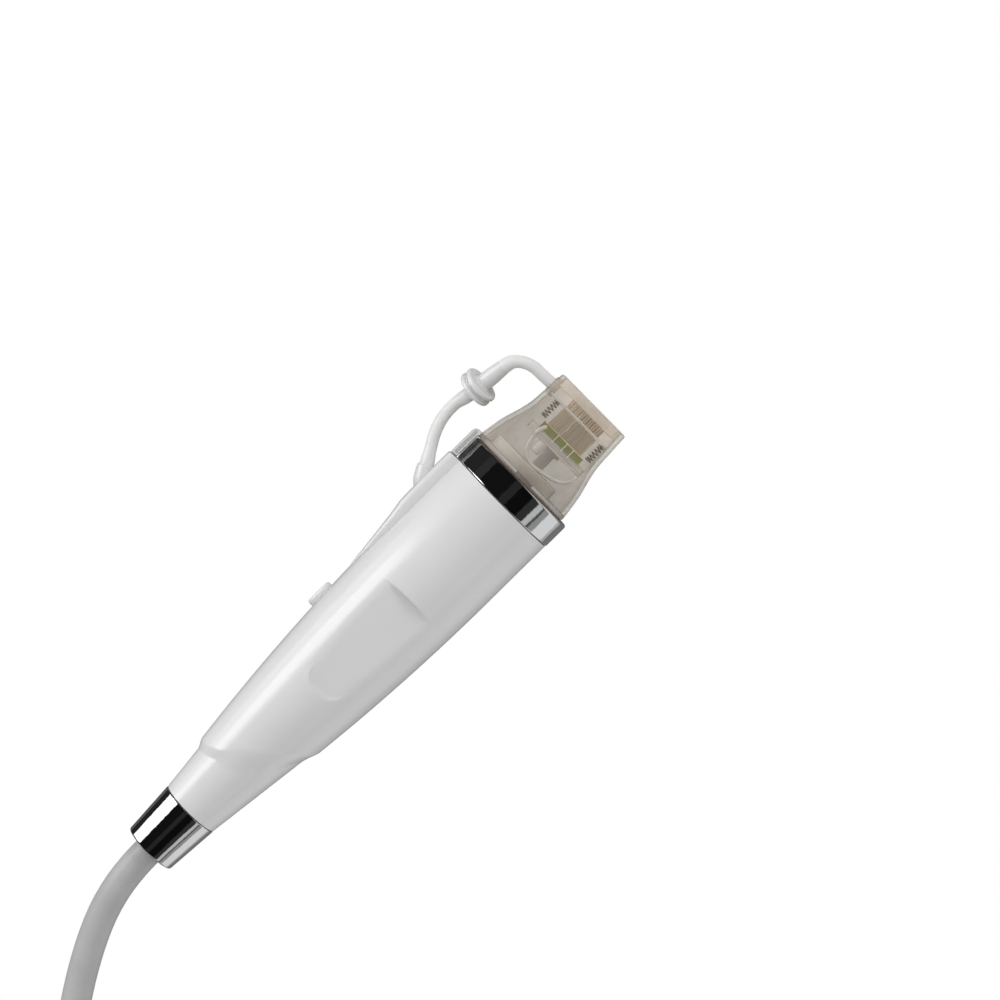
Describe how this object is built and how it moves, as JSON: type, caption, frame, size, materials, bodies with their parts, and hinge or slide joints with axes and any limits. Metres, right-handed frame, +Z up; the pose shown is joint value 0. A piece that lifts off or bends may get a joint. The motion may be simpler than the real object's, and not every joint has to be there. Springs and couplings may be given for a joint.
{
  "type": "microneedling pen",
  "caption": "Vacuum microneedling handpiece: tapered white handle with button, chrome ring and ferrule, translucent needle cartridge, filtered vacuum tube and corded plug.",
  "frame": {"origin": "middle of the seat on the barrel's axis, where a holder grips the pen", "axes": "+Z up, +X towards the tip's side: the pen's axis points along (1, 0, 1) from tail to tip; +Y away from the side that faces the viewer"},
  "size_m": [0.1949, 0.0476, 0.4818],
  "materials": {
    "white_plastic": "white moulding with a soft gloss",
    "white_inner_plastic": "plain white moulding",
    "chrome_trim": "bright chrome plate",
    "smoked_clear_plastic": "translucent taupe polycarbonate with a fine satin inside",
    "clear_plastic": "clear polycarbonate",
    "milky_plastic": "natural milky plastic",
    "white_filter_plastic": "white moulding",
    "silicone_hose": "translucent white silicone",
    "cable_jacket": "smooth grey jacket",
    "grey_rubber": "dark grey moulded rubber",
    "grey_plastic": "grey moulding",
    "brown_plastic": "dark brown moulding",
    "black_plastic": "black moulding",
    "ivory_nylon": "natural nylon",
    "circuit_board": "green lacquered glass fibre board",
    "steel": "bright stainless steel",
    "bronze_bush": "sintered bronze",
    "gold_contact": "gold plate",
    "anodised_aluminium": "natural anodising",
    "motor_can": "dark plated can",
    "plug_metal": "nickel plate"
  },
  "bodies": {
    "handle": {"left_shell": "white_plastic", "right_shell": "white_plastic", "tail_ferrule": "chrome_trim", "cable_gland": "grey_rubber", "head_ring": "chrome_trim", "socket_core": "white_inner_plastic", "contact_pins": "gold_contact", "pusher_bush": "bronze_bush", "port_housing": "white_plastic", "vacuum_elbow": "steel", "vacuum_line": "silicone_hose", "drive_chassis": "anodised_aluminium", "chassis_screws": "steel", "drive_motor": "motor_can", "guide_rails": "steel", "control_board": "circuit_board", "board_parts": "black_plastic", "button_board": "circuit_board", "tact_switch": "black_plastic", "button_gasket": "grey_rubber", "lead_bundle": "cable_jacket", "cable_clamp": "steel", "vacuum_tube_rear": "silicone_hose", "filter_rear": "white_filter_plastic", "filter_front": "white_filter_plastic", "vacuum_tube_front": "silicone_hose", "cable_drop": "cable_jacket", "cable_hank": "cable_jacket", "cable_tie": "grey_rubber", "plug_boot": "cable_jacket", "plug_shell": "plug_metal", "plug_insert": "black_plastic", "plug_contacts": "gold_contact"},
    "screw": {"lead_screw": "steel"},
    "pusher": {"screw_nut": "ivory_nylon", "pusher_rod": "steel"},
    "button": {"button_cap": "white_plastic", "switch_plunger": "white_inner_plastic"},
    "cartridge": {"cartridge_base": "smoked_clear_plastic", "cartridge_shell": "smoked_clear_plastic", "contact_board": "gold_contact", "spigot_seal": "grey_rubber", "stem_bush": "brown_plastic", "guide_plate": "milky_plastic", "front_plate": "milky_plastic", "return_springs": "steel"},
    "needle_head": {"needle_carrier": "clear_plastic", "needle_board": "circuit_board", "needles": "gold_contact", "drive_stem": "grey_plastic", "lead_loop": "clear_plastic"},
    "coupling_nut": {"plug_nut": "plug_metal"}
  },
  "joints": [
    {"name": "screw_spin", "type": "hinge", "parent": "handle", "child": "screw", "pos_m": [0, 0, 0], "axis": [0.7071, 0, 0.7071], "range_deg": [0, 1440]},
    {"name": "pusher_drive", "type": "slide", "parent": "handle", "child": "pusher", "axis": [0.7071, 0, 0.7071], "range_m": [0, 0.004]},
    {"name": "needle_stroke", "type": "slide", "parent": "cartridge", "child": "needle_head", "axis": [0.7071, 0, 0.7071], "range_m": [0, 0.004], "deforming": ["return_springs"]},
    {"name": "cartridge_pull", "type": "slide", "parent": "handle", "child": "cartridge", "axis": [0.7071, 0, 0.7071], "range_m": [0, 0.012], "deforming": ["vacuum_tube_front"]},
    {"name": "button_press", "type": "slide", "parent": "handle", "child": "button", "axis": [0.7071, 0, -0.7071], "range_m": [0, 0.0006], "stiffness_N_per_m": 1500},
    {"name": "plug_nut_turn", "type": "hinge", "parent": "handle", "child": "coupling_nut", "pos_m": [-0.097, 0.009, -0.368], "axis": [0, 0, 1], "continuous": true}
  ],
  "couplings": [
    {"joint": "screw_spin", "follows": "pusher_drive", "rad_per_m": 6283.1},
    {"joint": "needle_stroke", "follows": "pusher_drive", "ratio": 1}
  ]
}
